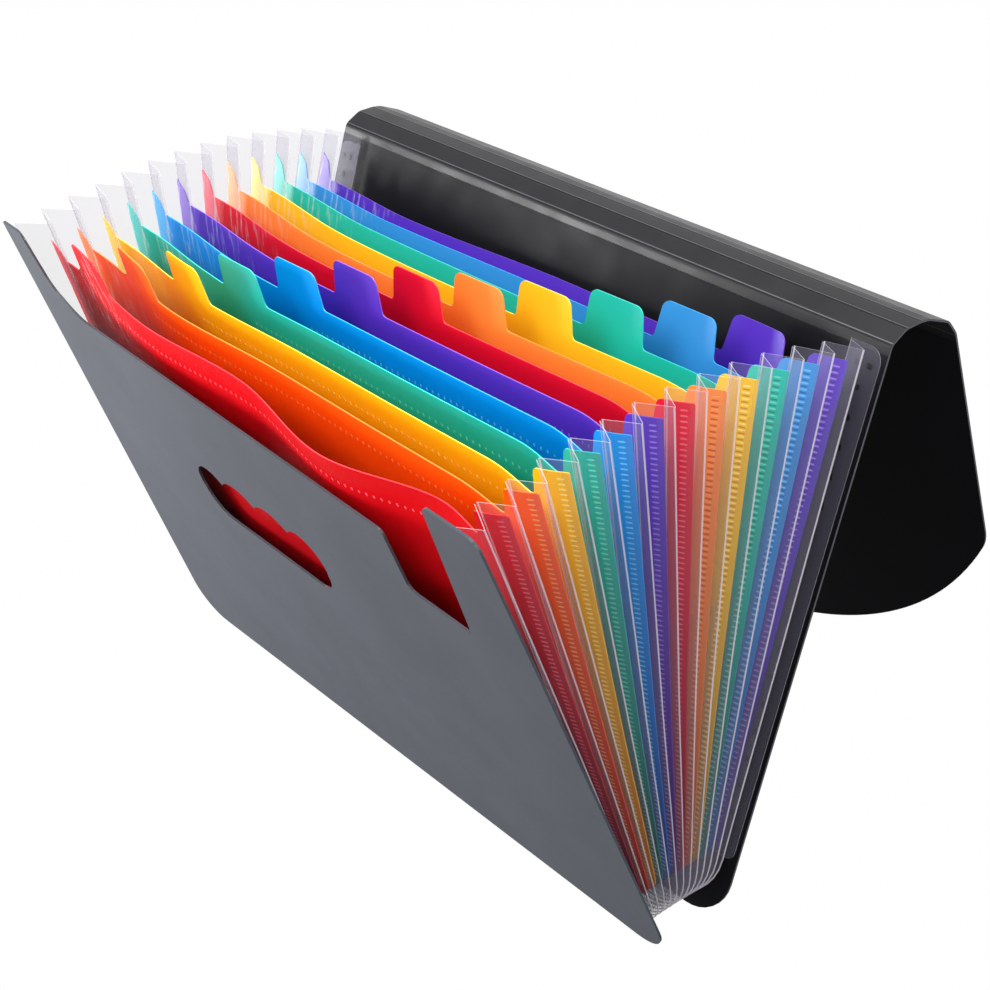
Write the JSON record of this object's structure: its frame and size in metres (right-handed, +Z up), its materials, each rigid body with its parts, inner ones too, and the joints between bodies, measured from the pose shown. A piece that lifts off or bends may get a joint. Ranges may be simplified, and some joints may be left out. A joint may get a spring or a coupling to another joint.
{
  "type": "expanding file organiser",
  "caption": "Accordion file of coloured tabbed dividers between two stiff covers, standing open as a fan with its flap folded behind.",
  "frame": {"origin": "on the floor, under the middle of the standing file's footprint", "axes": "+X along the width, to the right as seen from the front; -Y to the front cover; +Z up"},
  "size_m": [0.33, 0.3066, 0.233],
  "materials": {
    "front_cover_sheet": "satin slate grey polypropylene",
    "back_cover_sheet": "satin black polypropylene",
    "clear_film": "frosted clear polypropylene",
    "red_divider_sheet": "translucent red polypropylene",
    "orange_divider_sheet": "translucent orange polypropylene",
    "yellow_divider_sheet": "translucent yellow polypropylene",
    "green_divider_sheet": "translucent green polypropylene",
    "blue_divider_sheet": "translucent blue polypropylene",
    "purple_divider_sheet": "translucent purple polypropylene"
  },
  "bodies": {
    "back_cover": {"back_cover": "back_cover_sheet", "back_flange_left": "clear_film", "back_flange_right": "clear_film", "gusset_pleat_13": "clear_film"},
    "divider_12": {"divider_12_purple": "purple_divider_sheet", "gusset_pleat_12": "clear_film"},
    "divider_11": {"divider_11_blue": "blue_divider_sheet", "gusset_pleat_11": "clear_film"},
    "divider_10": {"divider_10_green": "green_divider_sheet", "gusset_pleat_10": "clear_film"},
    "divider_09": {"divider_09_yellow": "yellow_divider_sheet", "gusset_pleat_09": "clear_film"},
    "divider_08": {"divider_08_orange": "orange_divider_sheet", "gusset_pleat_08": "clear_film"},
    "divider_07": {"divider_07_red": "red_divider_sheet", "gusset_pleat_07": "clear_film"},
    "divider_06": {"divider_06_purple": "purple_divider_sheet", "gusset_pleat_06": "clear_film"},
    "divider_05": {"divider_05_blue": "blue_divider_sheet", "gusset_pleat_05": "clear_film"},
    "divider_04": {"divider_04_green": "green_divider_sheet", "gusset_pleat_04": "clear_film"},
    "divider_03": {"divider_03_yellow": "yellow_divider_sheet", "gusset_pleat_03": "clear_film"},
    "divider_02": {"divider_02_orange": "orange_divider_sheet", "gusset_pleat_02": "clear_film"},
    "divider_01": {"divider_01_red": "red_divider_sheet", "gusset_pleat_01": "clear_film"},
    "front_cover": {"front_cover": "front_cover_sheet", "front_flange_left": "clear_film", "front_flange_right": "clear_film"},
    "flap_strip_1": {"flap_crease_strip_1": "back_cover_sheet"},
    "flap_strip_2": {"flap_crease_strip_2": "back_cover_sheet"},
    "flap_strip_3": {"flap_crease_strip_3": "back_cover_sheet"},
    "flap_strip_4": {"flap_crease_strip_4": "back_cover_sheet"},
    "flap_strip_5": {"flap_crease_strip_5": "back_cover_sheet"},
    "flap": {"flap_panel": "back_cover_sheet"}
  },
  "joints": [
    {"name": "pocket_13_fold", "type": "hinge", "parent": "back_cover", "child": "divider_12", "pos_m": [0, -0.04142, 0], "axis": [-1, 0, 0], "range_deg": [0, 2.94], "deforming": ["gusset_pleat_13"]},
    {"name": "pocket_12_fold", "type": "hinge", "parent": "divider_12", "child": "divider_11", "pos_m": [0, -0.04349, 0], "axis": [-1, 0, 0], "range_deg": [0, 2.94], "deforming": ["gusset_pleat_12"]},
    {"name": "pocket_11_fold", "type": "hinge", "parent": "divider_11", "child": "divider_10", "pos_m": [0, -0.04557, 0], "axis": [-1, 0, 0], "range_deg": [0, 2.94], "deforming": ["gusset_pleat_11"]},
    {"name": "pocket_10_fold", "type": "hinge", "parent": "divider_10", "child": "divider_09", "pos_m": [0, -0.04765, 0], "axis": [-1, 0, 0], "range_deg": [0, 2.94], "deforming": ["gusset_pleat_10"]},
    {"name": "pocket_09_fold", "type": "hinge", "parent": "divider_09", "child": "divider_08", "pos_m": [0, -0.04972, 0], "axis": [-1, 0, 0], "range_deg": [0, 2.94], "deforming": ["gusset_pleat_09"]},
    {"name": "pocket_08_fold", "type": "hinge", "parent": "divider_08", "child": "divider_07", "pos_m": [0, -0.0518, 0], "axis": [-1, 0, 0], "range_deg": [0, 2.94], "deforming": ["gusset_pleat_08"]},
    {"name": "pocket_07_fold", "type": "hinge", "parent": "divider_07", "child": "divider_06", "pos_m": [0, -0.05388, 0], "axis": [-1, 0, 0], "range_deg": [0, 2.94], "deforming": ["gusset_pleat_07"]},
    {"name": "pocket_06_fold", "type": "hinge", "parent": "divider_06", "child": "divider_05", "pos_m": [0, -0.05595, 0], "axis": [-1, 0, 0], "range_deg": [0, 2.94], "deforming": ["gusset_pleat_06"]},
    {"name": "pocket_05_fold", "type": "hinge", "parent": "divider_05", "child": "divider_04", "pos_m": [0, -0.05803, 0], "axis": [-1, 0, 0], "range_deg": [0, 2.94], "deforming": ["gusset_pleat_05"]},
    {"name": "pocket_04_fold", "type": "hinge", "parent": "divider_04", "child": "divider_03", "pos_m": [0, -0.06011, 0], "axis": [-1, 0, 0], "range_deg": [0, 2.94], "deforming": ["gusset_pleat_04"]},
    {"name": "pocket_03_fold", "type": "hinge", "parent": "divider_03", "child": "divider_02", "pos_m": [0, -0.06218, 0], "axis": [-1, 0, 0], "range_deg": [0, 2.94], "deforming": ["gusset_pleat_03"]},
    {"name": "pocket_02_fold", "type": "hinge", "parent": "divider_02", "child": "divider_01", "pos_m": [0, -0.06426, 0], "axis": [-1, 0, 0], "range_deg": [0, 2.94], "deforming": ["gusset_pleat_02"]},
    {"name": "pocket_01_fold", "type": "hinge", "parent": "divider_01", "child": "front_cover", "pos_m": [0, -0.06634, 0], "axis": [-1, 0, 0], "range_deg": [0, 2.94], "deforming": ["gusset_pleat_01"]},
    {"name": "flap_crease_1", "type": "hinge", "parent": "back_cover", "child": "flap_strip_1", "pos_m": [0, 0.02887, 0.22593], "axis": [1, 0, 0], "range_deg": [0, 57.67]},
    {"name": "flap_crease_2", "type": "hinge", "parent": "flap_strip_1", "child": "flap_strip_2", "pos_m": [0, 0.03623, 0.23018], "axis": [1, 0, 0], "range_deg": [0, 40.47]},
    {"name": "flap_crease_3", "type": "hinge", "parent": "flap_strip_2", "child": "flap_strip_3", "pos_m": [0, 0.04421, 0.23073], "axis": [1, 0, 0], "range_deg": [0, 23.47]},
    {"name": "flap_crease_4", "type": "hinge", "parent": "flap_strip_3", "child": "flap_strip_4", "pos_m": [0, 0.0487, 0.23034], "axis": [1, 0, 0], "range_deg": [0, 28.47]},
    {"name": "flap_crease_5", "type": "hinge", "parent": "flap_strip_4", "child": "flap_strip_5", "pos_m": [0, 0.06052, 0.22627], "axis": [1, 0, 0], "range_deg": [0, 43.47]},
    {"name": "flap_crease_6", "type": "hinge", "parent": "flap_strip_5", "child": "flap", "pos_m": [0, 0.06587, 0.22033], "axis": [1, 0, 0], "range_deg": [0, 34.87]}
  ],
  "couplings": [
    {"joint": "pocket_12_fold", "follows": "pocket_13_fold", "ratio": 1},
    {"joint": "pocket_11_fold", "follows": "pocket_13_fold", "ratio": 1},
    {"joint": "pocket_10_fold", "follows": "pocket_13_fold", "ratio": 1},
    {"joint": "pocket_09_fold", "follows": "pocket_13_fold", "ratio": 1},
    {"joint": "pocket_08_fold", "follows": "pocket_13_fold", "ratio": 1},
    {"joint": "pocket_07_fold", "follows": "pocket_13_fold", "ratio": 1},
    {"joint": "pocket_06_fold", "follows": "pocket_13_fold", "ratio": 1},
    {"joint": "pocket_05_fold", "follows": "pocket_13_fold", "ratio": 1},
    {"joint": "pocket_04_fold", "follows": "pocket_13_fold", "ratio": 1},
    {"joint": "pocket_03_fold", "follows": "pocket_13_fold", "ratio": 1},
    {"joint": "pocket_02_fold", "follows": "pocket_13_fold", "ratio": 1},
    {"joint": "pocket_01_fold", "follows": "pocket_13_fold", "ratio": 1}
  ]
}
